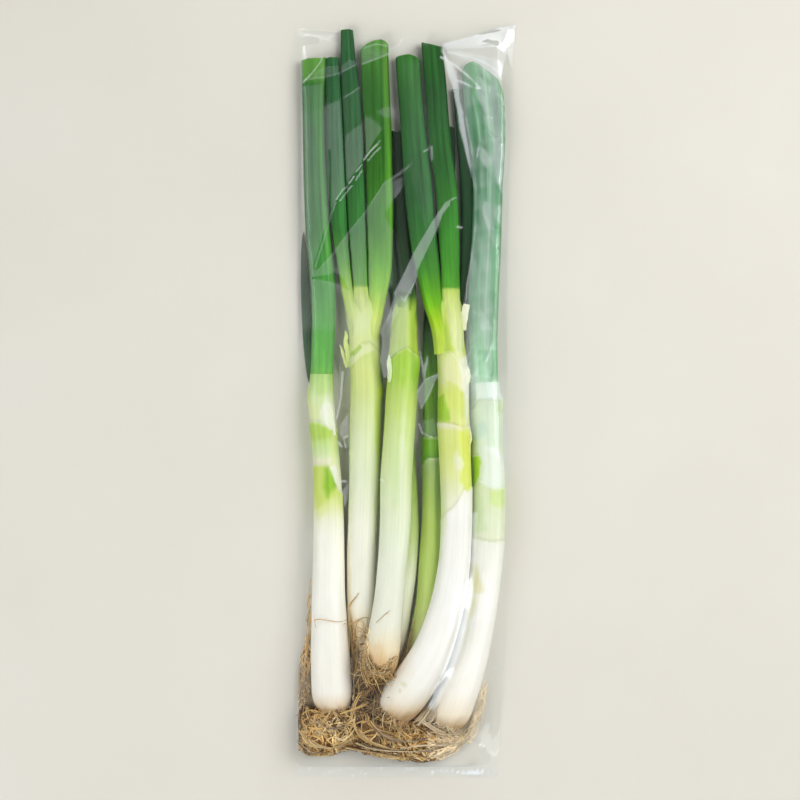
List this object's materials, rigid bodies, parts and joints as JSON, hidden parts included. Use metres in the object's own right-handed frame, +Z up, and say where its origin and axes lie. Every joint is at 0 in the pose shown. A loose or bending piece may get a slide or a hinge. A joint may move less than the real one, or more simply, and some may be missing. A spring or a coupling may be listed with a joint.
{
  "type": "spring onion bunch",
  "caption": "Large spring onions with long white shanks, flattened green leaves and a mat of fine roots, lying side by side in a clear film bag that is open at the leaf end.",
  "frame": {"origin": "on the surface that the bag lies on, under the middle of the overall box", "axes": "+Y from the roots to the cut leaf tops and the bag's mouth, +Z up out of the bag's front film, +X to the right as seen from above with the leaves away"},
  "size_m": [0.1558, 0.53, 0.044],
  "materials": {
    "white_shank": "smooth moist plant skin, white at the root end and green towards the leaves",
    "leaf": "smooth waxy leaf, deep green with fine lengthwise veins",
    "roots": "mat of fine dry roots, tan and brown",
    "clear_film": "clear glossy thin plastic film"
  },
  "bodies": {
    "root": {"onion_1_shank": "white_shank", "onion_2_shank": "white_shank", "onion_3_shank": "white_shank", "onion_4_shank": "white_shank", "onion_5_shank": "white_shank", "onion_6_shank": "white_shank", "onion_7_shank": "white_shank", "onion_1_leaf_a": "leaf", "onion_1_leaf_b": "leaf", "onion_2_leaf_a": "leaf", "onion_2_leaf_b": "leaf", "onion_2_leaf_c": "leaf", "onion_3_leaf": "leaf", "onion_4_leaf": "leaf", "onion_5_leaf": "leaf", "onion_6_leaf_a": "leaf", "onion_6_leaf_b": "leaf", "onion_6_leaf_c": "leaf", "onion_7_leaf": "leaf", "onion_1_roots": "roots", "onion_2_roots": "roots", "onion_3_roots": "roots", "onion_4_roots": "roots", "onion_5_roots": "roots", "onion_6_roots": "roots", "onion_7_roots": "roots", "bag_back_film": "clear_film", "bag_front_film": "clear_film"}
  },
  "joints": []
}
